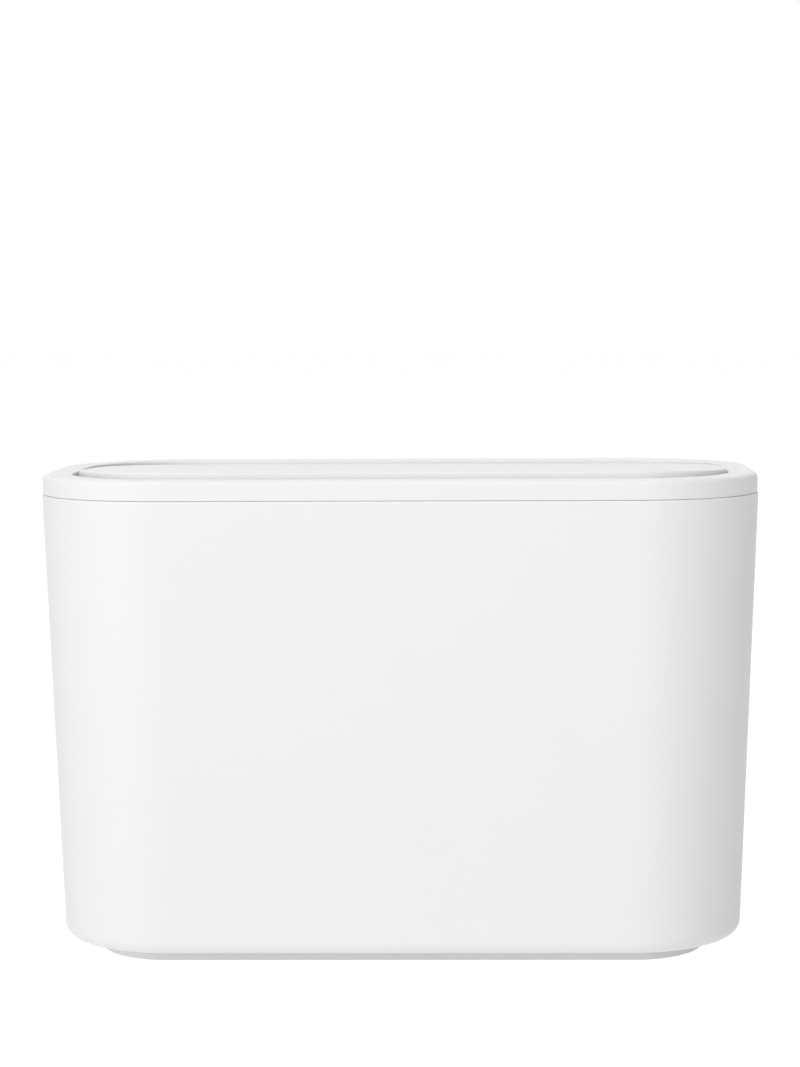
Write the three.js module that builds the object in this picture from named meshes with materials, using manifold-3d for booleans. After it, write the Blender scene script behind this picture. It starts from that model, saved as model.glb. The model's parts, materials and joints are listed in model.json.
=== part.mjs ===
// A small bathroom bin for a shelf, a windowsill or the floor beside a basin.
// A tapered tub with soft corners stands on a recessed grip ring. The lid is a flat frame that drops into the
// tub's mouth, and a hollow flap swings in the frame on two stub pins. A ballast bar hangs below the pins and
// brings the flap back nearly level, and a finger under each pin stops it when it has swung far enough.
//
// Millimetres. X runs left to right, Y from front to back and Z up. The origin is on the floor, under the middle.

import * as THREE from "three";
import { mergeVertices } from "three/addons/utils/BufferGeometryUtils.js";
import Module from "manifold-3d";

const wasm = await Module();
wasm.setup();

// The tub, measured over its mouth and down to the floor it stands on.
const mouthWidth = 240;
const mouthDepth = 120;
const mouthCornerRadius = 43;
const rimHeight = 154.1;
const draftAngle = THREE.MathUtils.degToRad(2.1);
const wallThickness = 2.4;
const floorThickness = 2.6;
const bottomEdgeRadius = 4.4;
const rimEdgeRadius = 0.5;

// The grip ring under the tub, and the rib that it is stretched round.
const footHeight = 4.8;
const footInset = 12.6;
const footWidth = 7;
const footEdgeRadius = 0.3;
const locatingRibHeight = 2.2;
const locatingRibWidth = 1.6;

// The lid frame, from the tub's rim upwards, and the spigot that drops into the tub's mouth.
const frameHeight = 6.65;
const frameSetback = 0.3;
const frameBand = 9.7;
const frameSkin = 2;
const frameEdgeRadius = 1.7;
const openingEdgeRadius = 0.5;
const openingWallDepth = 10.5;
const openingWallThickness = 1.9;
const shadowGapHeight = 0.15;
const shadowGapDepth = 0.6;
const spigotDepth = 8;
const spigotWall = 1.5;

// The flap, about its own pivot line, which lies across the bin from left to right. The end gap is the play at
// each end when the flap is in the middle, and the edge gap runs along its front and its back.
const flapEndGap = 1.25;
const flapEdgeGap = 0.6;
const flapTilt = THREE.MathUtils.degToRad(-2);
const flapSideShift = 0.95;
const pivotBelowFrameTop = 5.4;
const flapTopAbovePivot = 5.75;
const flapDepthBelowPivot = 4.4;
const flapSkin = 2;
const flapSkirtThickness = 1.8;
const flapEdgeRadius = 0.5;
const flapBaseThickness = 1.8;

// The stub pins, their bosses in the flap and their saddles in the frame.
const pinRadius = 1.7;
const pinInFrame = 3.1;
const pinHeadRadius = 2.3;
const pinHeadLength = 1.5;
const flapBossLength = 9;
const flapBossHalfWidth = 4.4;
const saddleDepth = 3.6;
const saddleHalfWidth = 5.4;
const clipFlangeThickness = 1.4;

// The finger of each clip. It hangs past the end of the flap, and its toe stops the flap's underside.
const stopToeBelowPivot = 18;
const stopToeHeight = 2.2;
const stopToeReach = 5;
const stopFingerHalfWidth = 2;

// The ballast bar and the keel of the flap that holds it.
const ballastLength = 150;
const ballastWidth = 13;
const ballastHeight = 5;
const ballastCornerRadius = 1.5;
const ballastBackShift = 0.1;
const keelWall = 1.6;

// The pegs that join the two halves of the flap.
const pegRadius = 1.5;
const pegSocketWall = 1.6;
const pegSpacingX = 150;
const pegSpacingY = 62;
const pegHeight = 3.4;

// Clearance between pieces that don't move on each other, and of a pin in its hole.
const clearance = 0.3;
const pinClearance = 0.15;

// How finely curves are cut, and how far a cutting solid runs past what it cuts.
const cornerSteps = 12;
const filletSteps = 4;
const roundSteps = 24;
const overrun = 2;
const smallestCornerRadius = 0.6;
const mergeDistance = 1e-4;

const mouth = { halfWidth: mouthWidth / 2, halfDepth: mouthDepth / 2, cornerRadius: mouthCornerRadius };
const frameTop = rimHeight + frameHeight;
const openingInset = frameSetback + frameBand;
const pivotHeight = frameTop - pivotBelowFrameTop;
const openingHalfWidth = mouth.halfWidth - openingInset;
const pinHoleRadius = pinRadius + pinClearance;

// An outline drawn in by the same amount all round.
function drawnIn(outline, inset) {
  return {
    halfWidth: outline.halfWidth - inset,
    halfDepth: outline.halfDepth - inset,
    cornerRadius: Math.max(outline.cornerRadius - inset, smallestCornerRadius),
  };
}

// The points of a rectangle with round corners, anticlockwise from above.
function outlinePoints({ halfWidth, halfDepth, cornerRadius }) {
  const corners = [[1, 1], [-1, 1], [-1, -1], [1, -1]];
  return corners.flatMap(([right, back], quarter) => {
    const centreX = right * (halfWidth - cornerRadius);
    const centreY = back * (halfDepth - cornerRadius);
    return Array.from({ length: cornerSteps + 1 }, (_, step) => {
      const angle = ((quarter + step / cornerSteps) * Math.PI) / 2;
      return [centreX + cornerRadius * Math.cos(angle), centreY + cornerRadius * Math.sin(angle)];
    });
  });
}

// A closed skin through a row of outlines, each given as how far it is drawn in and its height. A capped skin
// starts and ends on flat faces, and an open one joins its last outline to its first, as a ring does.
function loft(outline, profile, capped = true) {
  const loops = profile.map(([inset, z]) => outlinePoints(drawnIn(outline, inset)).map(([x, y]) => [x, y, z]));
  const count = loops[0].length;
  const positions = loops.flat(2);
  const indices = [];
  const spans = capped ? loops.length - 1 : loops.length;
  for (let span = 0; span < spans; span += 1) {
    const here = span * count;
    const there = ((span + 1) % loops.length) * count;
    for (let point = 0; point < count; point += 1) {
      const next = (point + 1) % count;
      indices.push(here + point, here + next, there + next);
      indices.push(here + point, there + next, there + point);
    }
  }
  if (capped) {
    const first = positions.length / 3;
    const last = first + 1;
    positions.push(0, 0, profile[0][1], 0, 0, profile[profile.length - 1][1]);
    const lastLoop = (loops.length - 1) * count;
    for (let point = 0; point < count; point += 1) {
      const next = (point + 1) % count;
      indices.push(first, next, point);
      indices.push(last, lastLoop + point, lastLoop + next);
    }
  }
  const geometry = new THREE.BufferGeometry();
  geometry.setAttribute("position", new THREE.Float32BufferAttribute(positions, 3));
  geometry.setIndex(indices);
  return geometry;
}

// Points of a quarter round in a profile, from one angle to another about a centre. Angle 0 points inwards and a
// quarter turn points up.
function arc(inset, z, radius, from, to) {
  return Array.from({ length: filletSteps + 1 }, (_, step) => {
    const angle = ((from + ((to - from) * step) / filletSteps) * Math.PI) / 2;
    return [inset + radius * Math.cos(angle), z + radius * Math.sin(angle)];
  });
}

// A flat slab with the given outline.
function slab(outline, bottom, top) {
  return loft(outline, [[0, bottom], [0, top]]);
}

// A box between two heights, centred on a point in plan.
function block(centreX, centreY, sizeX, sizeY, bottom, top) {
  return new THREE.BoxGeometry(sizeX, sizeY, top - bottom).translate(centreX, centreY, (bottom + top) / 2);
}

// A cylinder that lies along X between two places.
function rodAlongX(fromX, toX, z, radius) {
  const length = Math.abs(toX - fromX);
  const rod = new THREE.CylinderGeometry(radius, radius, length, roundSteps).rotateZ(Math.PI / 2);
  return rod.translate((fromX + toX) / 2, 0, z);
}

// A cylinder that stands upright between two heights.
function post(x, y, bottom, top, radius) {
  const upright = new THREE.CylinderGeometry(radius, radius, top - bottom, roundSteps).rotateX(Math.PI / 2);
  return upright.translate(x, y, (bottom + top) / 2);
}

function toSolid(geometry) {
  const bare = geometry.clone();
  for (const name of Object.keys(bare.attributes)) {
    if (name !== "position") bare.deleteAttribute(name);
  }
  const merged = mergeVertices(bare, mergeDistance);
  const vertProperties = merged.attributes.position.array;
  const triVerts = new Uint32Array(merged.index.array);
  return new wasm.Manifold(new wasm.Mesh({ numProp: 3, vertProperties, triVerts }));
}

function toGeometry(solid) {
  const { vertProperties, triVerts } = solid.getMesh();
  const geometry = new THREE.BufferGeometry();
  geometry.setAttribute("position", new THREE.Float32BufferAttribute(vertProperties, 3));
  geometry.setIndex(Array.from(triVerts));
  return geometry;
}

// One geometry with others joined to it, and then others cut from it.
function carve(geometry, joined, cut) {
  let solid = toSolid(geometry);
  for (const piece of joined) solid = solid.add(toSolid(piece));
  for (const piece of cut) solid = solid.subtract(toSolid(piece));
  return toGeometry(solid);
}

const whitePlastic = { color: 0xf1f1f0, roughness: 0.42, metalness: 0 };
const innerPlastic = { color: 0xe6e6e5, roughness: 0.5, metalness: 0 };
const gripRubber = { color: 0xc9c9c8, roughness: 0.8, metalness: 0 };
const acetal = { color: 0xdcdcd8, roughness: 0.4, metalness: 0 };
const steel = { color: 0xa9abad, roughness: 0.35, metalness: 1 };

function piece(name, geometry, finish) {
  const bare = geometry.index ? geometry.toNonIndexed() : geometry;
  bare.computeVertexNormals();
  const mesh = new THREE.Mesh(bare, new THREE.MeshStandardMaterial(finish));
  mesh.name = name;
  return mesh;
}

// How far the tub's outer face has drawn in at a height.
function draftInset(z) {
  return (rimHeight - z) * Math.tan(draftAngle);
}

const footOuterInset = draftInset(footHeight) + footInset;
const footInnerInset = footOuterInset + footWidth;
const floorTop = footHeight + floorThickness;

function bodyShell() {
  const ribOuter = footInnerInset + clearance;
  const ribInner = ribOuter + locatingRibWidth;
  const ribFoot = footHeight - locatingRibHeight;
  const bottomCentre = footHeight + bottomEdgeRadius;
  const wallInset = draftInset(bottomCentre);
  const innerEdgeRadius = Math.max(bottomEdgeRadius - wallThickness, smallestCornerRadius);
  const innerCentre = floorTop + innerEdgeRadius;
  const innerWallInset = draftInset(innerCentre) + wallThickness;
  return loft(mouth, [
    [ribInner, footHeight],
    [ribInner, ribFoot],
    [ribOuter, ribFoot],
    [ribOuter, footHeight],
    ...arc(wallInset + bottomEdgeRadius, bottomCentre, bottomEdgeRadius, -1, -2),
    ...arc(rimEdgeRadius, rimHeight - rimEdgeRadius, rimEdgeRadius, 2, 1),
    [wallThickness, rimHeight],
    ...arc(innerWallInset + innerEdgeRadius, innerCentre, innerEdgeRadius, -2, -1),
  ]);
}

function footRing() {
  const softOuter = arc(footOuterInset + footEdgeRadius, footEdgeRadius, footEdgeRadius, -1, -2);
  return loft(mouth, [
    ...softOuter,
    [footOuterInset, footHeight],
    [footInnerInset, footHeight],
    [footInnerInset, 0],
  ], false);
}

const openingWallFoot = frameTop - openingWallDepth;
const plateUnderside = frameTop - frameSkin;
const spigotOuterInset = wallThickness + clearance;
const spigotFoot = rimHeight - spigotDepth;
const spigotTaper = draftInset(spigotFoot);
const spigotInner = spigotOuterInset + spigotTaper + spigotWall;

// The slot that a pin is pushed up through and the round seat that it turns in, on one side of the frame.
function saddleCuts(side) {
  const inner = side * (openingHalfWidth - overrun);
  const outer = side * (openingHalfWidth + saddleDepth);
  const width = Math.abs(outer - inner);
  return [
    block((inner + outer) / 2, 0, width, 2 * pinHoleRadius, openingWallFoot - overrun, pivotHeight),
    rodAlongX(inner, outer, pivotHeight, pinHoleRadius),
  ];
}

function saddleBoss(side) {
  const length = openingInset - spigotOuterInset - clearance;
  const centreX = side * (openingHalfWidth + length / 2);
  return block(centreX, 0, length, 2 * saddleHalfWidth, openingWallFoot, plateUnderside);
}

function lidFrame() {
  const wallOuter = openingInset - openingWallThickness;
  const edge = frameEdgeRadius;
  const soft = openingEdgeRadius;
  const ring = loft(mouth, [
    [frameSetback, rimHeight + shadowGapHeight],
    ...arc(frameSetback + edge, frameTop - edge, edge, 2, 1),
    ...arc(openingInset - soft, frameTop - soft, soft, 1, 0),
    [openingInset, openingWallFoot],
    [wallOuter, openingWallFoot],
    [wallOuter, plateUnderside],
    [spigotInner, plateUnderside],
    [spigotInner, spigotFoot],
    [spigotOuterInset + spigotTaper, spigotFoot],
    [spigotOuterInset, rimHeight],
    [frameSetback + shadowGapDepth, rimHeight],
    [frameSetback + shadowGapDepth, rimHeight + shadowGapHeight],
  ], false);
  return carve(ring, [saddleBoss(-1), saddleBoss(1)], [...saddleCuts(-1), ...saddleCuts(1)]);
}

// The clip that closes a saddle under its pin.
function pivotClip(side) {
  const tongueLength = saddleDepth - clearance;
  const tongueWidth = 2 * (pinHoleRadius - clearance);
  const flangeLength = openingInset - spigotInner - clearance;
  const flangeFoot = openingWallFoot - clipFlangeThickness;
  const flangeX = side * (openingHalfWidth + flangeLength / 2);
  const tongueX = side * (openingHalfWidth + tongueLength / 2);
  const flange = block(flangeX, 0, flangeLength, 2 * saddleHalfWidth, flangeFoot, openingWallFoot);
  const tongue = block(tongueX, 0, tongueLength, tongueWidth, flangeFoot, pivotHeight - pinRadius / 2);
  const reach = side * (openingHalfWidth + saddleDepth + overrun);
  const seat = rodAlongX(side * (openingHalfWidth - overrun), reach, pivotHeight, pinHoleRadius);
  const toeTop = pivotHeight - stopToeBelowPivot;
  const toeFoot = toeTop - stopToeHeight;
  const toeLength = stopToeReach + flangeLength;
  const toeX = side * (openingHalfWidth + flangeLength - toeLength / 2);
  const finger = block(flangeX, 0, flangeLength, 2 * stopFingerHalfWidth, toeFoot, openingWallFoot);
  const toe = block(toeX, 0, toeLength, 2 * stopFingerHalfWidth, toeFoot, toeTop);
  return carve(flange, [tongue, finger, toe], [seat]);
}

// The flap's own outline. Its pieces are made about the pivot line and turned together afterwards.
const flapOutline = {
  halfWidth: openingHalfWidth - flapEndGap,
  halfDepth: mouth.halfDepth - openingInset - flapEdgeGap,
  cornerRadius: mouth.cornerRadius - openingInset,
};
const flapFoot = -flapDepthBelowPivot;
const flapCeiling = flapTopAbovePivot - flapSkin;
const flapBaseInset = flapSkirtThickness + clearance;
const flapBaseTop = flapFoot + flapBaseThickness;
const pinInFlap = flapBaseInset + flapBossLength + clearance;
const pegPlaces = [-1, 1].flatMap((right) => [-1, 1].map((back) => [
  (right * pegSpacingX) / 2,
  (back * pegSpacingY) / 2,
]));

function flapCover() {
  const edge = flapEdgeRadius;
  const shell = loft(flapOutline, [
    [flapSkirtThickness, flapCeiling],
    [flapSkirtThickness, flapFoot],
    [0, flapFoot],
    ...arc(edge, flapTopAbovePivot - edge, edge, 2, 1),
  ]);
  const socketRadius = pegRadius + clearance;
  const socketFoot = flapBaseTop + clearance;
  const sockets = pegPlaces.map(([x, y]) => post(x, y, socketFoot, flapCeiling + clearance, socketRadius + pegSocketWall));
  const bores = pegPlaces.map(([x, y]) => post(x, y, socketFoot - overrun, flapCeiling, socketRadius));
  const pinHoles = [-1, 1].map((side) => {
    const end = side * flapOutline.halfWidth;
    return rodAlongX(end - side * (flapSkirtThickness + overrun), end + side * overrun, 0, pinHoleRadius);
  });
  return carve(shell, sockets, [...bores, ...pinHoles]);
}

// The keel hangs from the flap's base and is just large enough for the ballast bar.
const keelOuter = {
  halfWidth: ballastLength / 2 + clearance + keelWall,
  halfDepth: ballastWidth / 2 + clearance + keelWall,
  cornerRadius: ballastCornerRadius + clearance + keelWall,
};
const ballastFoot = flapBaseTop - ballastHeight;
const keelFoot = ballastFoot - clearance - keelWall;

function flapBase() {
  const plate = slab(drawnIn(flapOutline, flapBaseInset), flapFoot, flapBaseTop);
  const keel = slab(keelOuter, keelFoot, flapBaseTop).translate(0, ballastBackShift, 0);
  const pocket = slab(drawnIn(keelOuter, keelWall), keelFoot + keelWall, flapBaseTop + overrun);
  const bossTop = flapCeiling - clearance;
  const bossEnd = flapOutline.halfWidth - flapBaseInset;
  const bossX = bossEnd - flapBossLength / 2;
  const pegs = pegPlaces.map(([x, y]) => post(x, y, flapBaseTop - clearance, flapBaseTop + pegHeight, pegRadius));
  const bosses = [-1, 1].map((side) => (
    block(side * bossX, 0, flapBossLength, 2 * flapBossHalfWidth, flapBaseTop - clearance, bossTop)
  ));
  const bores = [-1, 1].map((side) => (
    rodAlongX(side * (bossEnd - flapBossLength - overrun), side * (bossEnd + overrun), 0, pinHoleRadius)
  ));
  return carve(plate, [keel, ...bosses, ...pegs], [pocket.translate(0, ballastBackShift, 0), ...bores]);
}

function ballastBar() {
  const outline = drawnIn(keelOuter, keelWall + clearance);
  return slab(outline, ballastFoot, flapBaseTop).translate(0, ballastBackShift, 0);
}

// A stub pin: a shank through the flap's boss and skirt into the frame, and a head inside the flap.
function pivotPin(side) {
  const end = flapOutline.halfWidth;
  const reach = openingHalfWidth - side * flapSideShift + pinInFrame;
  const head = end - pinInFlap - pinHeadLength;
  const shank = rodAlongX(side * (end - pinInFlap - pinHeadLength / 2), side * reach, 0, pinRadius);
  const cap = rodAlongX(side * head, side * (head + pinHeadLength), 0, pinHeadRadius);
  return carve(shank, [cap], []);
}

const flap = new THREE.Group();
flap.position.set(flapSideShift, 0, pivotHeight);
flap.rotation.x = flapTilt;
flap.add(
  piece("flap_cover", flapCover(), whitePlastic),
  piece("flap_base", flapBase(), innerPlastic),
  piece("ballast_bar", ballastBar(), steel),
  piece("pivot_pin_left", pivotPin(-1), steel),
  piece("pivot_pin_right", pivotPin(1), steel),
);

const lid = new THREE.Group();
lid.add(
  piece("lid_frame", lidFrame(), whitePlastic),
  piece("pivot_clip_left", pivotClip(-1), acetal),
  piece("pivot_clip_right", pivotClip(1), acetal),
  flap,
);

const bin = new THREE.Group();
bin.add(
  piece("body_shell", bodyShell(), whitePlastic),
  piece("foot_ring", footRing(), gripRubber),
  lid,
);

export default bin;
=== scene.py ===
"""A swing-lid bathroom bin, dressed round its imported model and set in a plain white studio.

The frame's moving bodies are the tub, the lid and the flap. Each visible piece below is made to the same
sizes as the node that it stands for, with finer corners and a moulded finish.
"""

import json
import math

import bmesh
import bpy
from bpy.props import FloatProperty, FloatVectorProperty, PointerProperty
from mathutils import Matrix, Vector


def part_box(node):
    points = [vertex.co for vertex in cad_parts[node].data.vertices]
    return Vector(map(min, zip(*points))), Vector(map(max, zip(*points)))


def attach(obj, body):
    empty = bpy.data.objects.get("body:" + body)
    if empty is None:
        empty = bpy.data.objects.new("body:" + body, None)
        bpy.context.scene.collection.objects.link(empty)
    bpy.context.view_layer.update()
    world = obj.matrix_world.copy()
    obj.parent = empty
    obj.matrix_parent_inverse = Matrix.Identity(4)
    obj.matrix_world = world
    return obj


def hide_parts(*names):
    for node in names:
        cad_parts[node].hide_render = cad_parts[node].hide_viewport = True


bl_info = {
    "name": "Swing-lid bathroom bin",
    "version": (1, 0, 0),
    "blender": (4, 5, 0),
    "location": "3D View > Sidebar > Bathroom bin",
    "description": "Dresses the model of a small bathroom bin and sets up its studio",
    "category": "Object",
}

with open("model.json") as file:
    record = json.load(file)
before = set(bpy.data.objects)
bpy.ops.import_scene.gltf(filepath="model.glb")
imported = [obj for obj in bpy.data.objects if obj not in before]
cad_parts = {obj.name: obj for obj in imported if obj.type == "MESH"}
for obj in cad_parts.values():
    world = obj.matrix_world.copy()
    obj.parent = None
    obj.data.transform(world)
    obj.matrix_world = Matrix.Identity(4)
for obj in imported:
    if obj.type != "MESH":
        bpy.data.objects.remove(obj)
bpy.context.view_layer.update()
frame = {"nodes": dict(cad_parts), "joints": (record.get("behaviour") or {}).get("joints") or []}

MM = 0.001

# The photograph: its size, middle and focal length in pixels, the sensor's width in millimetres, and the
# camera's place and turns, which were fitted to the outline
PICTURE_WIDTH = 800
PICTURE_HEIGHT = 1067
PICTURE_MIDDLE = 470
FOCAL_LENGTH = 2539.25
SENSOR_WIDTH = 36
CAMERA_PLACE = (33.9 * MM, -868.3 * MM, 216.12 * MM)
CAMERA_YAW = math.radians(0.709)
CAMERA_DOWN = math.radians(5.115)
CAMERA_ROLL = math.radians(-0.211)

# The light: its lamps by name, direction and power in watts, and the glow of the floor and the air
LAMPS = (
    ("Low lamp", (-0.7, -0.7, 0.3), 17.6),
    ("High lamp", (0, -0.7, 0.7), 19.9),
    ("Overhead lamp", (0, 0, 1), 10.2),
    ("Back lamp", (0, 0.7, 0.7), 7.2),
)
LAMP_DISTANCE = 2
LAMP_SIZE = 2
AIR_LIGHT = 0.176
FLOOR_LIGHT = 0.524
FLOOR_WHITENESS = 0.96
FLOOR_REACH = 12
FLOOR_THICKNESS = 10 * MM

# How finely the shapes are cut
CORNER_STEPS = 64
POINTS_ROUND = 320
FILLET_STEPS = 6
BEVEL_STEPS = 2
ROD_SIDES = 48

# How far a cutting tool runs past what it cuts, and how far from an edge its support lies
OVERRUN = 2 * MM
SUPPORT_MARGIN = 0.5 * MM

# How far in from its edge a swept section reaches before its flat faces are closed: at the tub's floor as a
# share of the corner radius, and on the flap in thicknesses of its wall
FLOOR_CLOSING = 0.9
FLAP_CLOSING = 12

# Distances under which points are one, and the angles that tell a flat face, a bevel and a sharp edge
MERGE_DISTANCE = 0.001 * MM
NODE_MERGE_DISTANCE = 0.005 * MM
FLAT_ANGLE = math.radians(1)
BEVEL_ANGLE = math.radians(40)
SHARP_ANGLE = math.radians(35)

# The grain that every surface carries: its detail, and the soft clouds that change its tone and roughness
GRAIN_DETAIL = 3
GRAIN_HEIGHT = 0.05 * MM
CLOUD_DETAIL = 4
CLOUD_ROUGHNESS = 0.6
CLOUD_SCALE = 14
ROUGHNESS_CHANGE = 0.12

tub_low, tub_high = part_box("body_shell")
foot_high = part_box("foot_ring")[1]
frame_low, frame_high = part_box("lid_frame")
flap_low, flap_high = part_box("flap_cover")
swing = next(joint for joint in frame["joints"] if joint["name"] == "flap_swing")
pivot = Vector(swing["pos_m"])


# Sizes and colours


def length(name, description, default):
    return FloatProperty(name=name, description=description, default=default, min=0, unit="LENGTH")


def angle(name, description, degrees):
    return FloatProperty(
        name=name, description=description, default=math.radians(degrees), subtype="ANGLE", unit="ROTATION"
    )


def colour(name, description, default):
    return FloatVectorProperty(
        name=name, description=description, default=default, min=0, max=1, size=4, subtype="COLOR"
    )


class BinTubSizes(bpy.types.PropertyGroup):
    """Sizes of the tub and of the ring that it stands on"""

    width: length("Width", "Width over the mouth", tub_high.x - tub_low.x)
    depth: length("Depth", "Depth over the mouth", tub_high.y - tub_low.y)
    corner_radius: length("Corner radius", "Radius of the mouth's corners, seen from above", 43 * MM)
    rim_height: length("Rim height", "Height of the rim above the floor", tub_high.z)
    draft: angle("Draft", "Lean of the walls, which lets the tub leave its mould", 2.1)
    wall: length("Wall", "Thickness of the walls", 2.4 * MM)
    floor_thickness: length("Floor thickness", "Thickness of the floor", 2.6 * MM)
    bottom_radius: length("Bottom radius", "Radius of the outer bottom edge", 4.4 * MM)
    rim_radius: length("Rim radius", "Radius of the rim's outer edge", 0.5 * MM)
    soft_radius: length("Soft radius", "Radius of the edges that the mould leaves soft", 0.4 * MM)
    foot_height: length("Foot height", "Height of the grip ring", foot_high.z)
    foot_inset: length("Foot inset", "How far the grip ring is set back under the tub", 12.6 * MM)
    foot_width: length("Foot width", "Width of the grip ring", 7 * MM)
    foot_radius: length("Foot radius", "Radius of the grip ring's lower outer edge", 0.3 * MM)
    rib_height: length("Rib height", "Height of the rib inside the grip ring", 2.2 * MM)
    rib_width: length("Rib width", "Width of the rib inside the grip ring", 1.6 * MM)
    clearance: length("Clearance", "Gap between pieces that don't move on each other", 0.3 * MM)


class BinLidSizes(bpy.types.PropertyGroup):
    """Sizes of the lid frame and of the flap that swings in it"""

    top: length("Top", "Height of the frame's flat top above the floor", frame_high.z)
    setback: length("Setback", "How far the frame is set back from the tub", frame_low.x - tub_low.x)
    band: length("Band", "Width of the frame's flat top", 9.7 * MM)
    skin: length("Skin", "Thickness of the frame's flat top", 2 * MM)
    edge_radius: length("Edge radius", "Radius of the frame's outer top edge", 1.7 * MM)
    opening_radius: length("Opening radius", "Radius of the edge of the frame's opening", 0.5 * MM)
    opening_depth: length("Opening depth", "Depth of the wall round the opening", 10.5 * MM)
    opening_wall: length("Opening wall", "Thickness of the wall round the opening", 1.9 * MM)
    seam_height: length("Seam height", "Height of the shadow gap over the tub's rim", 0.15 * MM)
    seam_depth: length("Seam depth", "Depth of the shadow gap over the tub's rim", 0.6 * MM)
    seam_radius: length("Seam radius", "Radius of the frame's edge over the shadow gap", 0.25 * MM)
    spigot_depth: length("Spigot depth", "How far the frame reaches into the tub", 8 * MM)
    spigot_wall: length("Spigot wall", "Thickness of the wall that reaches into the tub", 1.5 * MM)
    end_gap: length("End gap", "Gap at each end of a flap that sits midway", 1.25 * MM)
    edge_gap: length("Edge gap", "Gap along the front and the back of the flap", 0.6 * MM)
    flap_tilt: angle("Flap tilt", "How far the flap rests out of level", -2)
    flap_top: length("Flap top", "Height of the flap's top above its pivot line", 5.75 * MM)
    flap_foot: length("Flap foot", "Depth of the flap's foot below its pivot line", 4.4 * MM)
    flap_skin: length("Flap skin", "Thickness of the flap's top", 2 * MM)
    flap_wall: length("Flap wall", "Thickness of the flap's skirt", 1.8 * MM)
    flap_radius: length("Flap radius", "Radius of the flap's top edge", 0.5 * MM)
    pin_hole: length("Pin hole", "Radius of the holes for the stub pins", 1.85 * MM)
    saddle_depth: length("Saddle depth", "Depth of the slot that takes a stub pin", 3.6 * MM)
    saddle_width: length("Saddle width", "Half the width of the boss round a slot", 5.4 * MM)
    tray_edge: length("Tray edge", "Radius of the edges of the flap's base", 0.25 * MM)
    ballast_edge: length("Ballast edge", "Radius of the ballast bar's edges", 0.3 * MM)
    pin_edge: length("Pin edge", "Radius of the stub pins' edges", 0.2 * MM)
    clip_edge: length("Clip edge", "Radius of the pivot clips' edges", 0.15 * MM)


class BinColours(bpy.types.PropertyGroup):
    """Colours of the finishes"""

    shell: colour("Shell", "White plastic of the tub, the frame and the flap", (0.86, 0.86, 0.86, 1))
    inner: colour("Inner", "Plastic of the flap's base", (0.8, 0.8, 0.79, 1))
    grip: colour("Grip", "Rubber of the grip ring", (0.85, 0.85, 0.85, 1))
    clip: colour("Clip", "Plastic of the pivot clips", (0.72, 0.72, 0.69, 1))
    steel: colour("Steel", "Steel of the stub pins and the ballast bar", (0.56, 0.57, 0.58, 1))
    floor_lit: colour("Floor lit", "Tone of the floor for the light it throws back", (0.44, 0.44, 0.44, 1))
    floor_seen: colour("Floor seen", "Tone of the floor where its shadow is seen", (0.2, 0.2, 0.2, 1))


def tub_sizes():
    return bpy.context.scene.bin_tub_sizes


def lid_sizes():
    return bpy.context.scene.bin_lid_sizes


def colours():
    return bpy.context.scene.bin_colours


# Materials


def grain_group():
    """The moulded or rubbed surface that every material carries, as colour, roughness and height."""
    name = "Surface grain"
    if name in bpy.data.node_groups:
        return bpy.data.node_groups[name]
    group = bpy.data.node_groups.new(name, "ShaderNodeTree")
    sockets = group.interface
    sockets.new_socket("Vector", in_out="INPUT", socket_type="NodeSocketVector")
    sockets.new_socket("Colour", in_out="INPUT", socket_type="NodeSocketColor")
    for label in ("Tone Change", "Roughness", "Roughness Change", "Grain Scale", "Cloud Scale"):
        sockets.new_socket(label, in_out="INPUT", socket_type="NodeSocketFloat")
    sockets.new_socket("Colour", in_out="OUTPUT", socket_type="NodeSocketColor")
    sockets.new_socket("Roughness", in_out="OUTPUT", socket_type="NodeSocketFloat")
    sockets.new_socket("Height", in_out="OUTPUT", socket_type="NodeSocketFloat")
    nodes = group.nodes
    links = group.links
    given = nodes.new("NodeGroupInput")
    result = nodes.new("NodeGroupOutput")

    grain = nodes.new("ShaderNodeTexNoise")
    grain.inputs["Detail"].default_value = GRAIN_DETAIL
    links.new(given.outputs["Vector"], grain.inputs["Vector"])
    links.new(given.outputs["Grain Scale"], grain.inputs["Scale"])
    links.new(grain.outputs["Fac"], result.inputs["Height"])

    cloud = nodes.new("ShaderNodeTexNoise")
    cloud.inputs["Detail"].default_value = CLOUD_DETAIL
    cloud.inputs["Roughness"].default_value = CLOUD_ROUGHNESS
    links.new(given.outputs["Vector"], cloud.inputs["Vector"])
    links.new(given.outputs["Cloud Scale"], cloud.inputs["Scale"])

    tone = nodes.new("ShaderNodeMath")
    tone.operation = "MULTIPLY"
    links.new(cloud.outputs["Fac"], tone.inputs[0])
    links.new(given.outputs["Tone Change"], tone.inputs[1])
    darker = nodes.new("ShaderNodeMix")
    darker.data_type = "RGBA"
    darker.inputs["B"].default_value = (0, 0, 0, 1)
    links.new(tone.outputs[0], darker.inputs["Factor"])
    links.new(given.outputs["Colour"], darker.inputs["A"])
    links.new(darker.outputs["Result"], result.inputs["Colour"])

    spread = nodes.new("ShaderNodeMath")
    spread.operation = "SUBTRACT"
    spread.inputs[1].default_value = 0.5
    links.new(cloud.outputs["Fac"], spread.inputs[0])
    uneven = nodes.new("ShaderNodeMath")
    uneven.operation = "MULTIPLY_ADD"
    links.new(spread.outputs[0], uneven.inputs[0])
    links.new(given.outputs["Roughness Change"], uneven.inputs[1])
    links.new(given.outputs["Roughness"], uneven.inputs[2])
    links.new(uneven.outputs[0], result.inputs["Roughness"])
    return group


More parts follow.
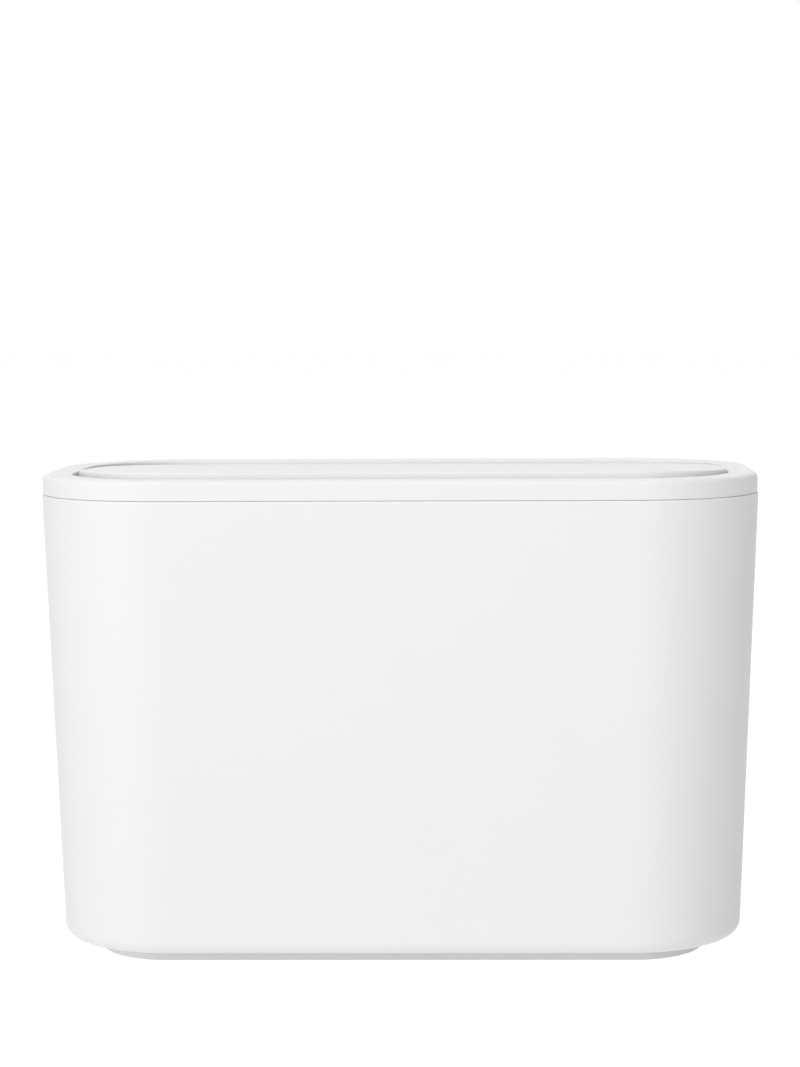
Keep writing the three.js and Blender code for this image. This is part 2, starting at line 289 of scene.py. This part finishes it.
def finish(name, base, roughness, grain_scale, bump, tone_change, gloss=0.5, stretch=(1, 1, 1), metallic=0):
    """A material with a colour, a roughness and a fine grain, which can be stretched into brushing."""
    if name in bpy.data.materials:
        return bpy.data.materials[name]
    material = bpy.data.materials.new(name)
    material.use_nodes = True
    nodes = material.node_tree.nodes
    links = material.node_tree.links
    shader = nodes["Principled BSDF"]
    shader.inputs["Metallic"].default_value = metallic
    shader.inputs["Specular IOR Level"].default_value = gloss

    place = nodes.new("ShaderNodeTexCoord")
    turn = nodes.new("ShaderNodeMapping")
    turn.inputs["Scale"].default_value = stretch
    links.new(place.outputs["Object"], turn.inputs["Vector"])

    grain = nodes.new("ShaderNodeGroup")
    grain.node_tree = grain_group()
    grain.inputs["Colour"].default_value = base
    grain.inputs["Tone Change"].default_value = tone_change
    grain.inputs["Roughness"].default_value = roughness
    grain.inputs["Roughness Change"].default_value = ROUGHNESS_CHANGE
    grain.inputs["Grain Scale"].default_value = grain_scale
    grain.inputs["Cloud Scale"].default_value = CLOUD_SCALE
    links.new(turn.outputs["Vector"], grain.inputs["Vector"])
    links.new(grain.outputs["Colour"], shader.inputs["Base Color"])
    links.new(grain.outputs["Roughness"], shader.inputs["Roughness"])

    relief = nodes.new("ShaderNodeBump")
    relief.inputs["Strength"].default_value = bump
    relief.inputs["Distance"].default_value = GRAIN_HEIGHT
    links.new(grain.outputs["Height"], relief.inputs["Height"])
    links.new(relief.outputs["Normal"], shader.inputs["Normal"])
    return material


def white_plastic():
    return finish(
        "White moulded plastic",
        colours().shell,
        roughness=0.46,
        grain_scale=1400,
        bump=0.12,
        tone_change=0.02,
        gloss=0.15,
    )


def inner_plastic():
    return finish(
        "Inner moulded plastic",
        colours().inner,
        roughness=0.55,
        grain_scale=1100,
        bump=0.25,
        tone_change=0.04,
    )


def grip_rubber():
    return finish(
        "Grip rubber",
        colours().grip,
        roughness=0.78,
        grain_scale=900,
        bump=0.6,
        tone_change=0.1,
    )


def clip_plastic():
    return finish(
        "Clip plastic",
        colours().clip,
        roughness=0.38,
        grain_scale=1600,
        bump=0.15,
        tone_change=0.05,
    )


def brushed_steel():
    return finish(
        "Drawn steel",
        colours().steel,
        roughness=0.36,
        grain_scale=2600,
        bump=0.35,
        tone_change=0.08,
        stretch=(0.05, 1, 1),
        metallic=1,
    )


# Shapes


def fillet(before, corner, after, radius):
    """Points of the arc that rounds a corner of a section, no larger than its shorter side allows."""
    arriving = (before - corner).normalized()
    leaving = (after - corner).normalized()
    opening = arriving.angle(leaving)
    reach = radius / math.tan(opening / 2)
    room = min((before - corner).length, (after - corner).length) / 2
    radius *= min(1, room / reach)
    reach = radius / math.tan(opening / 2)
    middle = corner + (arriving + leaving).normalized() * (radius / math.sin(opening / 2))
    start = corner + arriving * reach - middle
    turn = (corner + leaving * reach - middle).angle_signed(start)
    points = []
    for step in range(FILLET_STEPS + 1):
        share = step / FILLET_STEPS
        points.append(middle + Matrix.Rotation(turn * share, 2) @ start)
    return points


def rounded_section(corners, closed):
    """A section drawn from corners, each given as its place outwards, its height and its radius."""
    places = [Vector(corner[:2]) for corner in corners]
    points = []
    for index, corner in enumerate(corners):
        is_end = not closed and index in (0, len(corners) - 1)
        if is_end or corner[2] == 0:
            points.append(places[index])
            continue
        before = places[index - 1]
        after = places[(index + 1) % len(corners)]
        points.extend(fillet(before, places[index], after, corner[2]))
    return with_support(points, closed)


def with_support(points, closed):
    """The same section with a point near each end of a long side, which keeps its face flat when shaded."""
    supported = []
    for index, point in enumerate(points):
        supported.append(point)
        if index == len(points) - 1 and not closed:
            break
        side = points[(index + 1) % len(points)] - point
        if side.length > 3 * SUPPORT_MARGIN:
            supported.append(point + side.normalized() * SUPPORT_MARGIN)
            supported.append(point + side - side.normalized() * SUPPORT_MARGIN)
    return supported


def section_curve(points, closed):
    """The section as a curve for the sweep, which turns the curve's Y downwards."""
    curve = bpy.data.curves.new("Section", "CURVE")
    curve.dimensions = "3D"
    spline = curve.splines.new("POLY")
    spline.points.add(len(points) - 1)
    for target, (out, up) in zip(spline.points, points):
        target.co = (out, -up, 0, 1)
    spline.use_cyclic_u = closed
    section = bpy.data.objects.new("Section", curve)
    bpy.context.scene.collection.objects.link(section)
    return section


def sweep_group():
    """Geometry nodes that carry a section round a rectangle with round corners."""
    name = "Swept outline"
    if name in bpy.data.node_groups:
        return bpy.data.node_groups[name]
    group = bpy.data.node_groups.new(name, "GeometryNodeTree")
    sockets = group.interface
    sockets.new_socket("Section", in_out="INPUT", socket_type="NodeSocketObject")
    for label in ("Width", "Depth", "Corner Radius"):
        sockets.new_socket(label, in_out="INPUT", socket_type="NodeSocketFloat")
    for label in ("Corner Steps", "Points Round"):
        sockets.new_socket(label, in_out="INPUT", socket_type="NodeSocketInt")
    sockets.new_socket("Material", in_out="INPUT", socket_type="NodeSocketMaterial")
    sockets.new_socket("Geometry", in_out="OUTPUT", socket_type="NodeSocketGeometry")
    nodes = group.nodes
    links = group.links
    given = nodes.new("NodeGroupInput")
    result = nodes.new("NodeGroupOutput")

    outline = nodes.new("GeometryNodeCurvePrimitiveQuadrilateral")
    links.new(given.outputs["Width"], outline.inputs["Width"])
    links.new(given.outputs["Depth"], outline.inputs["Height"])
    corners = nodes.new("GeometryNodeFilletCurve")
    corners.mode = "POLY"
    links.new(outline.outputs["Curve"], corners.inputs["Curve"])
    links.new(given.outputs["Corner Steps"], corners.inputs["Count"])
    links.new(given.outputs["Corner Radius"], corners.inputs["Radius"])
    even = nodes.new("GeometryNodeResampleCurve")
    links.new(corners.outputs["Curve"], even.inputs["Curve"])
    links.new(given.outputs["Points Round"], even.inputs["Count"])
    level = nodes.new("GeometryNodeSetCurveNormal")
    level.mode = "Z_UP"
    links.new(even.outputs["Curve"], level.inputs["Curve"])

    section = nodes.new("GeometryNodeObjectInfo")
    links.new(given.outputs["Section"], section.inputs["Object"])
    skin = nodes.new("GeometryNodeCurveToMesh")
    links.new(level.outputs["Curve"], skin.inputs["Curve"])
    links.new(section.outputs["Geometry"], skin.inputs["Profile Curve"])
    solid = nodes.new("GeometryNodeRealizeInstances")
    links.new(skin.outputs["Mesh"], solid.inputs["Geometry"])
    coat = nodes.new("GeometryNodeSetMaterial")
    links.new(solid.outputs["Geometry"], coat.inputs["Geometry"])
    links.new(given.outputs["Material"], coat.inputs["Material"])
    links.new(coat.outputs["Geometry"], result.inputs["Geometry"])
    return group


def set_input(modifier, label, value):
    for socket in modifier.node_group.interface.items_tree:
        if socket.name == label and socket.in_out == "INPUT":
            modifier[socket.identifier] = value


def settle(piece):
    """Leaves the piece as its modifiers shape it, as a plain mesh."""
    evaluated = piece.evaluated_get(bpy.context.evaluated_depsgraph_get())
    result = bpy.data.meshes.new_from_object(evaluated)
    piece.modifiers.clear()
    piece.data = result


def new_piece(name):
    piece = bpy.data.objects.new(name, bpy.data.meshes.new(name))
    bpy.context.scene.collection.objects.link(piece)
    return piece


def swept(name, width, depth, corner_radius, section, closed, material):
    """A piece whose section, drawn clockwise, goes once round a rounded rectangle."""
    piece = new_piece(name)
    guide = section_curve(section, closed)
    modifier = piece.modifiers.new("Sweep", "NODES")
    modifier.node_group = sweep_group()
    set_input(modifier, "Section", guide)
    set_input(modifier, "Width", width)
    set_input(modifier, "Depth", depth)
    set_input(modifier, "Corner Radius", corner_radius)
    set_input(modifier, "Corner Steps", CORNER_STEPS)
    set_input(modifier, "Points Round", POINTS_ROUND)
    set_input(modifier, "Material", material)
    settle(piece)
    bpy.data.objects.remove(guide)
    close_up(piece)
    return piece


def close_up(piece):
    """Closes the piece's open ends and shades it smooth up to its edges."""
    mesh = bmesh.new()
    mesh.from_mesh(piece.data)
    bmesh.ops.remove_doubles(mesh, verts=mesh.verts, dist=MERGE_DISTANCE)
    open_edges = [edge for edge in mesh.edges if edge.is_boundary]
    if open_edges:
        bmesh.ops.holes_fill(mesh, edges=open_edges, sides=0)
        bmesh.ops.recalc_face_normals(mesh, faces=mesh.faces)
    shade(mesh)
    mesh.to_mesh(piece.data)
    mesh.free()


def shade(mesh):
    """Shades the mesh smooth but for its sharp edges."""
    for face in mesh.faces:
        face.smooth = True
    for edge in mesh.edges:
        edge.smooth = edge.is_manifold and edge.calc_face_angle(0) < SHARP_ANGLE


def block(name, low, high):
    """A box between two corners, used to add to a piece or cut from it."""
    piece = new_piece(name)
    mesh = bmesh.new()
    bmesh.ops.create_cube(mesh, size=1)
    low = Vector(low)
    high = Vector(high)
    for vert in mesh.verts:
        for axis in range(3):
            vert.co[axis] = low[axis] if vert.co[axis] < 0 else high[axis]
    mesh.to_mesh(piece.data)
    mesh.free()
    return piece


def rod(name, start, end, height, radius):
    """A cylinder along X, used to cut a hole."""
    piece = new_piece(name)
    mesh = bmesh.new()
    bmesh.ops.create_cone(
        mesh, cap_ends=True, segments=ROD_SIDES, radius1=radius, radius2=radius, depth=abs(end - start)
    )
    bmesh.ops.rotate(mesh, verts=mesh.verts, matrix=Matrix.Rotation(math.pi / 2, 3, "Y"))
    bmesh.ops.translate(mesh, verts=mesh.verts, vec=((start + end) / 2, 0, height))
    mesh.to_mesh(piece.data)
    mesh.free()
    return piece


def combine(piece, others, operation):
    """Joins the others to the piece or cuts them from it, and removes them."""
    for other in others:
        modifier = piece.modifiers.new("Combine", "BOOLEAN")
        modifier.operation = operation
        modifier.solver = "EXACT"
        modifier.object = other
    settle(piece)
    for other in others:
        bpy.data.objects.remove(other)


def softened(node, name, body, material, radius):
    """A copy of a CAD node with its flat faces made whole and its edges softened."""
    piece = bpy.data.objects.new(name, frame["nodes"][node].data.copy())
    bpy.context.scene.collection.objects.link(piece)
    mesh = bmesh.new()
    mesh.from_mesh(piece.data)
    bmesh.ops.remove_doubles(mesh, verts=mesh.verts, dist=NODE_MERGE_DISTANCE)
    bmesh.ops.dissolve_limit(mesh, angle_limit=FLAT_ANGLE, verts=mesh.verts, edges=mesh.edges)
    mesh.to_mesh(piece.data)
    mesh.free()
    piece.data.materials.clear()
    piece.data.materials.append(material)
    modifier = piece.modifiers.new("Soften", "BEVEL")
    modifier.width = radius
    modifier.segments = BEVEL_STEPS
    modifier.limit_method = "ANGLE"
    modifier.angle_limit = BEVEL_ANGLE
    modifier.use_clamp_overlap = True
    settle(piece)
    close_up(piece)
    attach(piece, body)
    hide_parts(node)


# The tub


def draft_inset(height):
    sizes = tub_sizes()
    return (sizes.rim_height - height) * math.tan(sizes.draft)


def tub_section():
    """The tub's section, from its floor up the inside, over the rim, down the outside and underneath."""
    sizes = tub_sizes()
    floor_top = sizes.foot_height + sizes.floor_thickness
    underside = sizes.foot_height
    rib_outer = draft_inset(underside) + sizes.foot_inset + sizes.foot_width + sizes.clearance
    rib_inner = rib_outer + sizes.rib_width
    rib_foot = underside - sizes.rib_height
    inner_radius = sizes.bottom_radius - sizes.wall
    middle = FLOOR_CLOSING * sizes.corner_radius
    soft = sizes.soft_radius
    return rounded_section(
        [
            (-middle, floor_top, 0),
            (-draft_inset(floor_top) - sizes.wall, floor_top, inner_radius),
            (-sizes.wall, sizes.rim_height, soft),
            (0, sizes.rim_height, sizes.rim_radius),
            (-draft_inset(underside), underside, sizes.bottom_radius),
            (-rib_outer, underside, 0),
            (-rib_outer, rib_foot, soft),
            (-rib_inner, rib_foot, soft),
            (-rib_inner, underside, 0),
            (-middle, underside, 0),
        ],
        closed=False,
    )


class BIN_OT_tub(bpy.types.Operator):
    """Make the tub"""

    bl_idname = "bathroom_bin.tub"
    bl_label = "Tub"

    def execute(self, context):
        sizes = tub_sizes()
        piece = swept(
            "tub", sizes.width, sizes.depth, sizes.corner_radius, tub_section(), False, white_plastic()
        )
        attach(piece, "tub")
        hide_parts("body_shell")
        return {"FINISHED"}


class BIN_OT_grip_ring(bpy.types.Operator):
    """Make the rubber ring that the tub stands on"""

    bl_idname = "bathroom_bin.grip_ring"
    bl_label = "Grip ring"

    def execute(self, context):
        sizes = tub_sizes()
        outer = draft_inset(sizes.foot_height) + sizes.foot_inset
        inner = outer + sizes.foot_width
        soft = sizes.soft_radius
        section = rounded_section(
            [
                (-inner, 0, soft),
                (-inner, sizes.foot_height, 0),
                (-outer, sizes.foot_height, 0),
                (-outer, 0, sizes.foot_radius),
            ],
            closed=True,
        )
        piece = swept(
            "grip_ring", sizes.width, sizes.depth, sizes.corner_radius, section, True, grip_rubber()
        )
        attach(piece, "tub")
        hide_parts("foot_ring")
        return {"FINISHED"}


# The lid


def frame_section():
    """The lid frame's section, clockwise from the shadow gap over the tub's rim."""
    tub = tub_sizes()
    lid = lid_sizes()
    opening = lid.setback + lid.band
    wall_outer = opening - lid.opening_wall
    wall_foot = lid.top - lid.opening_depth
    underside = lid.top - lid.skin
    spigot_foot = tub.rim_height - lid.spigot_depth
    spigot_top = tub.wall + tub.clearance
    spigot_outer = spigot_top + draft_inset(spigot_foot)
    spigot_inner = spigot_outer + lid.spigot_wall
    seam = lid.setback + lid.seam_depth
    soft = tub.soft_radius
    return rounded_section(
        [
            (-seam, tub.rim_height + lid.seam_height, 0),
            (-seam, tub.rim_height, 0),
            (-spigot_top, tub.rim_height, 0),
            (-spigot_outer, spigot_foot, soft),
            (-spigot_inner, spigot_foot, soft),
            (-spigot_inner, underside, 0),
            (-wall_outer, underside, 0),
            (-wall_outer, wall_foot, soft),
            (-opening, wall_foot, soft),
            (-opening, lid.top, lid.opening_radius),
            (-lid.setback, lid.top, lid.edge_radius),
            (-lid.setback, tub.rim_height + lid.seam_height, lid.seam_radius),
        ],
        closed=True,
    )


def saddle(side):
    """The boss on one side of the frame, and what is cut from it for a stub pin."""
    tub = tub_sizes()
    lid = lid_sizes()
    half_opening = tub.width / 2 - lid.setback - lid.band
    outer = tub.width / 2 - tub.wall - 2 * tub.clearance
    foot = lid.top - lid.opening_depth
    head = lid.top - lid.skin
    reach = half_opening + lid.saddle_depth
    across = sorted((side * half_opening, side * outer))
    slot = sorted((side * (half_opening - OVERRUN), side * reach))
    boss = block("boss", (across[0], -lid.saddle_width, foot), (across[1], lid.saddle_width, head))
    cut = block("cut", (slot[0], -lid.pin_hole, foot - OVERRUN), (slot[1], lid.pin_hole, pivot.z))
    seat = rod("seat", slot[0], slot[1], pivot.z, lid.pin_hole)
    return boss, cut, seat


class BIN_OT_lid_frame(bpy.types.Operator):
    """Make the frame that drops into the tub's mouth"""

    bl_idname = "bathroom_bin.lid_frame"
    bl_label = "Lid frame"

    def execute(self, context):
        sizes = tub_sizes()
        piece = swept(
            "frame", sizes.width, sizes.depth, sizes.corner_radius, frame_section(), True, white_plastic()
        )
        saddles = [saddle(-1), saddle(1)]
        combine(piece, [boss for boss, cut, seat in saddles], "UNION")
        combine(piece, [tool for boss, cut, seat in saddles for tool in (cut, seat)], "DIFFERENCE")
        close_up(piece)
        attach(piece, "lid")
        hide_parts("lid_frame")
        return {"FINISHED"}


def flap_section():
    """The flap cover's section, from the middle of its top, down the skirt and back along its ceiling."""
    lid = lid_sizes()
    ceiling = lid.flap_top - lid.flap_skin
    soft = tub_sizes().soft_radius
    middle = FLAP_CLOSING * lid.flap_wall
    return rounded_section(
        [
            (-middle, lid.flap_top, 0),
            (0, lid.flap_top, lid.flap_radius),
            (0, -lid.flap_foot, soft),
            (-lid.flap_wall, -lid.flap_foot, soft),
            (-lid.flap_wall, ceiling, soft),
            (-middle, ceiling, 0),
        ],
        closed=False,
    )


class BIN_OT_flap(bpy.types.Operator):
    """Make the white cover of the swinging flap"""

    bl_idname = "bathroom_bin.flap"
    bl_label = "Flap"

    def execute(self, context):
        tub = tub_sizes()
        lid = lid_sizes()
        inset = lid.setback + lid.band
        piece = swept(
            "flap",
            tub.width - 2 * (inset + lid.end_gap),
            tub.depth - 2 * (inset + lid.edge_gap),
            tub.corner_radius - inset,
            flap_section(),
            False,
            white_plastic(),
        )
        reach = tub.width / 2 - inset - lid.end_gap
        holes = []
        for side in (-1, 1):
            start, end = sorted((side * (reach - 2 * lid.flap_wall), side * (reach + lid.flap_wall)))
            holes.append(rod("hole", start, end, 0, lid.pin_hole))
        combine(piece, holes, "DIFFERENCE")
        close_up(piece)
        shift = (flap_low.x + flap_high.x) / 2
        turn = Matrix.Rotation(lid.flap_tilt, 4, "X")
        piece.data.transform(Matrix.Translation((shift, pivot.y, pivot.z)) @ turn)
        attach(piece, "flap")
        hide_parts("flap_cover")
        return {"FINISHED"}


class BIN_OT_inner_pieces(bpy.types.Operator):
    """Finish the pieces inside the lid: the flap's base, the ballast, the pins and their clips"""

    bl_idname = "bathroom_bin.inner_pieces"
    bl_label = "Inner pieces"

    def execute(self, context):
        lid = lid_sizes()
        softened("flap_base", "flap_tray", "flap", inner_plastic(), lid.tray_edge)
        softened("ballast_bar", "ballast", "flap", brushed_steel(), lid.ballast_edge)
        for side in ("left", "right"):
            softened(f"pivot_pin_{side}", f"pin_{side}", "flap", brushed_steel(), lid.pin_edge)
            softened(f"pivot_clip_{side}", f"clip_{side}", "lid", clip_plastic(), lid.clip_edge)
        return {"FINISHED"}


# The studio


def studio_floor():
    """A floor that looks white, holds a faint shadow, and lights the bin as pale paper would."""
    material = bpy.data.materials.new("Studio floor")
    material.use_nodes = True
    nodes = material.node_tree.nodes
    links = material.node_tree.links
    nodes.clear()
    result = nodes.new("ShaderNodeOutputMaterial")
    paper = nodes.new("ShaderNodeBsdfDiffuse")
    glow = nodes.new("ShaderNodeEmission")
    seen = seen_directly(nodes, links)
    level = nodes.new("ShaderNodeMapRange")
    level.inputs["To Min"].default_value = FLOOR_LIGHT
    level.inputs["To Max"].default_value = FLOOR_WHITENESS
    links.new(seen, level.inputs["Value"])
    links.new(level.outputs["Result"], glow.inputs["Strength"])
    tone = nodes.new("ShaderNodeMix")
    tone.data_type = "RGBA"
    tone.inputs["A"].default_value = colours().floor_lit
    tone.inputs["B"].default_value = colours().floor_seen
    links.new(seen, tone.inputs["Factor"])
    links.new(tone.outputs["Result"], paper.inputs["Color"])
    both = nodes.new("ShaderNodeAddShader")
    links.new(paper.outputs["BSDF"], both.inputs[0])
    links.new(glow.outputs["Emission"], both.inputs[1])
    links.new(both.outputs["Shader"], result.inputs["Surface"])
    return material


def seen_directly(nodes, links):
    """One for what is seen directly, in a gloss or through a clear piece, and nought for other light."""
    path = nodes.new("ShaderNodeLightPath")
    first = nodes.new("ShaderNodeMath")
    first.operation = "MAXIMUM"
    links.new(path.outputs["Is Camera Ray"], first.inputs[0])
    links.new(path.outputs["Is Glossy Ray"], first.inputs[1])
    second = nodes.new("ShaderNodeMath")
    second.operation = "MAXIMUM"
    links.new(first.outputs[0], second.inputs[0])
    links.new(path.outputs["Is Transmission Ray"], second.inputs[1])
    return second.outputs[0]


def studio_air():
    """A surround that is white to look at and gives the soft light from all round."""
    world = bpy.data.worlds.new("Studio air")
    world.use_nodes = True
    nodes = world.node_tree.nodes
    links = world.node_tree.links
    background = nodes["Background"]
    background.inputs["Color"].default_value = (1, 1, 1, 1)
    level = nodes.new("ShaderNodeMapRange")
    level.inputs["To Min"].default_value = AIR_LIGHT
    level.inputs["To Max"].default_value = 1
    links.new(seen_directly(nodes, links), level.inputs["Value"])
    links.new(level.outputs["Result"], background.inputs["Strength"])
    bpy.context.scene.world = world


def soft_lamp(name, direction, power):
    """A square lamp that shines at the middle of the bin from a direction."""
    target = Vector((0, 0, tub_sizes().rim_height / 2))
    lamp = bpy.data.lights.new(name, "AREA")
    lamp.shape = "SQUARE"
    lamp.size = LAMP_SIZE
    lamp.energy = power
    holder = bpy.data.objects.new(name, lamp)
    towards = Vector(direction).normalized()
    holder.location = target + towards * LAMP_DISTANCE
    holder.rotation_euler = towards.to_track_quat("Z", "Y").to_euler()
    bpy.context.scene.collection.objects.link(holder)


def camera():
    """The photograph's view: from the front, a little from above and from the right, with a long lens."""
    lens = bpy.data.cameras.new("Camera")
    lens.sensor_width = SENSOR_WIDTH
    lens.lens = FOCAL_LENGTH / PICTURE_HEIGHT * SENSOR_WIDTH
    lens.shift_x = (PICTURE_WIDTH / 2 - PICTURE_MIDDLE) / PICTURE_HEIGHT
    holder = bpy.data.objects.new("Camera", lens)
    place = Matrix.Translation(CAMERA_PLACE)
    yaw = Matrix.Rotation(CAMERA_YAW, 4, "Z")
    pitch = Matrix.Rotation(math.pi / 2 - CAMERA_DOWN, 4, "X")
    roll = Matrix.Rotation(CAMERA_ROLL, 4, "Z")
    holder.matrix_world = place @ yaw @ pitch @ roll
    bpy.context.scene.collection.objects.link(holder)
    bpy.context.scene.camera = holder


class BIN_OT_studio(bpy.types.Operator):
    """Set up the floor, the light and the camera"""

    bl_idname = "bathroom_bin.studio"
    bl_label = "Studio"

    def execute(self, context):
        floor = block(
            "studio_floor", (-FLOOR_REACH, -FLOOR_REACH, -FLOOR_THICKNESS), (FLOOR_REACH, FLOOR_REACH, 0)
        )
        floor.data.materials.append(studio_floor())
        studio_air()
        for name, direction, power in LAMPS:
            soft_lamp(name, direction, power)
        camera()
        context.scene.view_settings.view_transform = "Standard"
        return {"FINISHED"}


# Registration


class BIN_PT_panel(bpy.types.Panel):
    """The bin's sizes, colours and operators"""

    bl_idname = "BIN_PT_panel"
    bl_label = "Bathroom bin"
    bl_space_type = "VIEW_3D"
    bl_region_type = "UI"
    bl_category = "Bathroom bin"

    def draw(self, context):
        for group in (tub_sizes(), lid_sizes(), colours()):
            column = self.layout.column()
            for name in group.bl_rna.properties.keys():
                if name not in ("rna_type", "name"):
                    column.prop(group, name)
        for operator in OPERATORS:
            self.layout.operator(operator.bl_idname)


OPERATORS = (
    BIN_OT_tub,
    BIN_OT_grip_ring,
    BIN_OT_lid_frame,
    BIN_OT_flap,
    BIN_OT_inner_pieces,
    BIN_OT_studio,
)
CLASSES = (BinTubSizes, BinLidSizes, BinColours, *OPERATORS, BIN_PT_panel)


def register():
    for cls in CLASSES:
        bpy.utils.register_class(cls)
    bpy.types.Scene.bin_tub_sizes = PointerProperty(type=BinTubSizes)
    bpy.types.Scene.bin_lid_sizes = PointerProperty(type=BinLidSizes)
    bpy.types.Scene.bin_colours = PointerProperty(type=BinColours)


def unregister():
    del bpy.types.Scene.bin_colours
    del bpy.types.Scene.bin_lid_sizes
    del bpy.types.Scene.bin_tub_sizes
    for cls in reversed(CLASSES):
        bpy.utils.unregister_class(cls)


def main():
    register()
    bpy.ops.bathroom_bin.tub()
    bpy.ops.bathroom_bin.grip_ring()
    bpy.ops.bathroom_bin.lid_frame()
    bpy.ops.bathroom_bin.flap()
    bpy.ops.bathroom_bin.inner_pieces()
    bpy.ops.bathroom_bin.studio()


if __name__ == "__main__":
    main()
